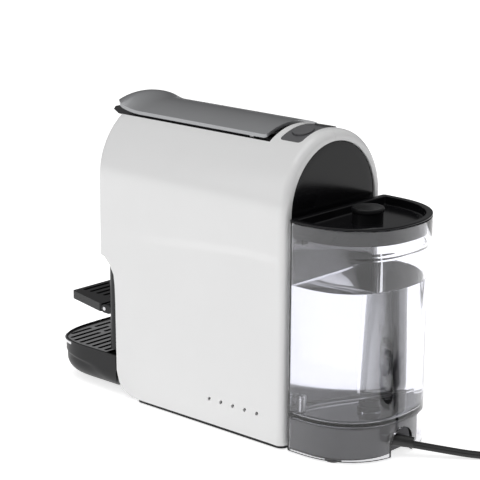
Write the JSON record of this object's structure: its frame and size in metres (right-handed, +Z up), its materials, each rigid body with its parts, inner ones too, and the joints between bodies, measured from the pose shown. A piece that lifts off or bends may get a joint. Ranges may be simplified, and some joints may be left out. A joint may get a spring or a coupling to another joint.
{
  "type": "pod coffee machine",
  "caption": "Compact capsule coffee machine with lift lever, clear rear water tank, folding cup platform, drip tray and flat mains lead.",
  "frame": {"origin": "bottom centre of the machine's box, measured without its lead", "axes": "+Z up, +Y towards the water tank, -Y towards the cup side, +X to the machine's left as seen from the cup side"},
  "size_m": [0.1439, 0.4862, 0.235],
  "materials": {
    "shell_white": "gloss",
    "gloss_black": "gloss",
    "satin_black": "satin",
    "silver_paint": "satin silver paint",
    "panel_grey": "satin",
    "clear_plastic": "clear",
    "dock_grey": "matte",
    "grille_chrome": "satin plated",
    "steel": "machined",
    "aluminium": "cast",
    "rubber": "matte",
    "silicone": "translucent",
    "board_green": "solder mask",
    "blade_nickel": "plated"
  },
  "bodies": {
    "chassis": {"right_shell": "shell_white", "left_shell": "shell_white", "rear_panel": "gloss_black", "base_plate": "satin_black", "feet": "rubber", "case_screws": "steel", "bay_frame": "satin_black", "head_well": "satin_black", "brew_frame": "steel", "guide_rods": "steel", "capsule_cage": "aluminium", "needles": "steel", "thermoblock": "aluminium", "brew_head": "satin_black", "coffee_spout": "satin_black", "pump": "steel", "pump_mounts": "rubber", "flow_meter": "satin_black", "suction_hose": "silicone", "feed_hose": "silicone", "pressure_tube": "silicone", "control_board": "board_green", "board_parts": "satin_black", "button_board": "board_green", "button_panel": "panel_grey", "tank_dock": "dock_grey", "tank_nipple": "satin_black", "nipple_seal": "silicone", "cord_gland": "rubber", "mains_cord": "rubber", "cord_coil": "rubber", "cord_tail": "rubber", "plug_body": "rubber", "plug_blades": "blade_nickel"},
    "lever": {"lever_cover": "silver_paint", "lever_grip": "satin_black", "lever_carrier": "satin_black", "lever_pin": "steel"},
    "brew_carriage": {"brew_carriage": "satin_black", "outlet_screen": "steel"},
    "capsule_container": {"capsule_container": "satin_black", "platform_pin": "steel"},
    "cup_platform": {"cup_platform": "satin_black"},
    "drip_tray": {"drip_tray": "satin_black"},
    "drip_grille": {"drip_grille": "grille_chrome"},
    "water_tank": {"water_tank": "clear_plastic", "level_posts": "steel"},
    "tank_valve": {"tank_valve": "satin_black"},
    "tank_lid": {"tank_lid": "gloss_black", "lid_knob": "gloss_black", "lid_hook": "satin_black"},
    "button_long": {"button_long": "panel_grey"},
    "button_short": {"button_short": "panel_grey"}
  },
  "joints": [
    {"name": "lever_hinge", "type": "hinge", "parent": "chassis", "child": "lever", "pos_m": [0, 0.034, 0.2205], "axis": [-1, 0, 0], "range_deg": [0, 88]},
    {"name": "brew_slide", "type": "slide", "parent": "chassis", "child": "brew_carriage", "axis": [0, -1, 0], "range_m": [0, 0.0277]},
    {"name": "button_long_press", "type": "slide", "parent": "chassis", "child": "button_long", "axis": [-0.2264, 0, -0.974], "range_m": [0, 0.0015], "stiffness_N_per_m": 700},
    {"name": "button_short_press", "type": "slide", "parent": "chassis", "child": "button_short", "axis": [0.2264, 0, -0.974], "range_m": [0, 0.0015], "stiffness_N_per_m": 700},
    {"name": "container_slide", "type": "slide", "parent": "chassis", "child": "capsule_container", "axis": [0, -1, 0], "range_m": [0, 0.11]},
    {"name": "platform_hinge", "type": "hinge", "parent": "capsule_container", "child": "cup_platform", "pos_m": [0, -0.1028, 0.0664], "axis": [-1, 0, 0], "range_deg": [0, 88]},
    {"name": "tray_slide", "type": "slide", "parent": "chassis", "child": "drip_tray", "axis": [0, -1, 0], "range_m": [0, 0.11]},
    {"name": "grille_lift", "type": "slide", "parent": "drip_tray", "child": "drip_grille", "axis": [0, 0, 1], "range_m": [0, 0.025]},
    {"name": "tank_lift", "type": "slide", "parent": "chassis", "child": "water_tank", "axis": [0, 0, 1], "range_m": [0, 0.06]},
    {"name": "lid_lift", "type": "slide", "parent": "water_tank", "child": "tank_lid", "axis": [0, 0, 1], "range_m": [0, 0.04]},
    {"name": "valve_lift", "type": "slide", "parent": "water_tank", "child": "tank_valve", "axis": [0, 0, 1], "range_m": [0, 0.003], "stiffness_N_per_m": 150}
  ],
  "couplings": [
    {"joint": "brew_slide", "follows": "lever_hinge", "m_per_rad": 0.018}
  ]
}
